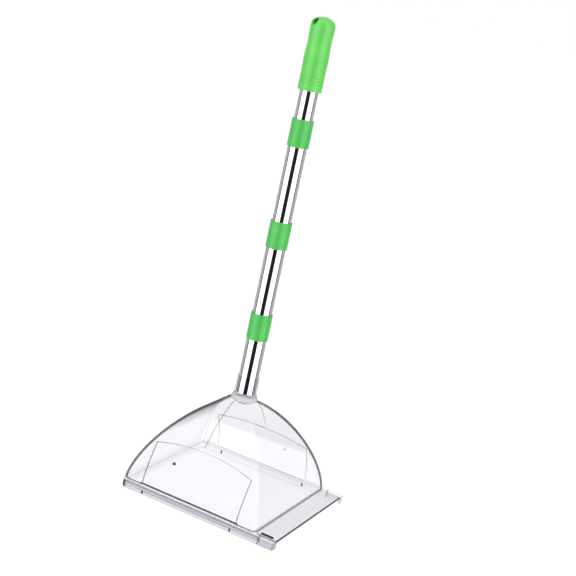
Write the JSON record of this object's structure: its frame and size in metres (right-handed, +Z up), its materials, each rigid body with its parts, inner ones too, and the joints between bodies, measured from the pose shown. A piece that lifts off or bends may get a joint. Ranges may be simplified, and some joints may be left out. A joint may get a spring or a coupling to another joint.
{
  "type": "spider catcher",
  "caption": "Clear dome with sliding door and hinged flaps on a telescopic pole with a hand grip, for lifting spiders without touching them.",
  "frame": {"origin": "centre of the bounding box at the floor, under the base frame", "axes": "+Z up along the pole, +X the way the door slides out, -Y the front face of the dome"},
  "size_m": [0.2014, 0.183, 0.5572],
  "materials": {
    "clear_plastic": "clear moulded polystyrene, polished",
    "chrome_tube": "bright plated steel tube",
    "green_plastic": "satin moulded plastic",
    "black_plastic": "satin moulded plastic",
    "steel_pin": "drawn wire"
  },
  "bodies": {
    "catcher": {"base_frame": "clear_plastic", "dome_shell": "clear_plastic", "front_hinge_pin": "steel_pin", "back_hinge_pin": "steel_pin", "neck_socket": "clear_plastic", "tube_a": "chrome_tube", "collar_lower": "green_plastic"},
    "section_b": {"tube_b": "chrome_tube", "collar_middle": "green_plastic"},
    "section_c": {"tube_c": "chrome_tube", "collar_upper": "green_plastic"},
    "section_d": {"tube_d": "chrome_tube", "grip": "green_plastic"},
    "door": {"door_plate": "clear_plastic", "door_pull_strip": "clear_plastic", "door_clip_near": "clear_plastic", "door_clip_far": "clear_plastic", "door_catch_bar": "black_plastic"},
    "front_flap_leaf": {"front_flap": "clear_plastic", "front_flap_knob": "black_plastic"},
    "back_flap_leaf": {"back_flap": "clear_plastic", "back_flap_knob": "black_plastic"}
  },
  "joints": [
    {"name": "section_b_slide", "type": "slide", "parent": "catcher", "child": "section_b", "axis": [0, 0, -1], "range_m": [0, 0.0735]},
    {"name": "section_c_slide", "type": "slide", "parent": "section_b", "child": "section_c", "axis": [0, 0, -1], "range_m": [0, 0.0845]},
    {"name": "section_d_slide", "type": "slide", "parent": "section_c", "child": "section_d", "axis": [0, 0, -1], "range_m": [0, 0.0312]},
    {"name": "door_slide", "type": "slide", "parent": "catcher", "child": "door", "axis": [1, 0, 0], "range_m": [0, 0.15]},
    {"name": "front_flap_hinge", "type": "hinge", "parent": "catcher", "child": "front_flap_leaf", "pos_m": [-0.01225, -0.0869, 0.011], "axis": [1, 0, 0], "range_deg": [0, 90]},
    {"name": "back_flap_hinge", "type": "hinge", "parent": "catcher", "child": "back_flap_leaf", "pos_m": [-0.01225, 0.0869, 0.011], "axis": [-1, 0, 0], "range_deg": [0, 90]}
  ]
}
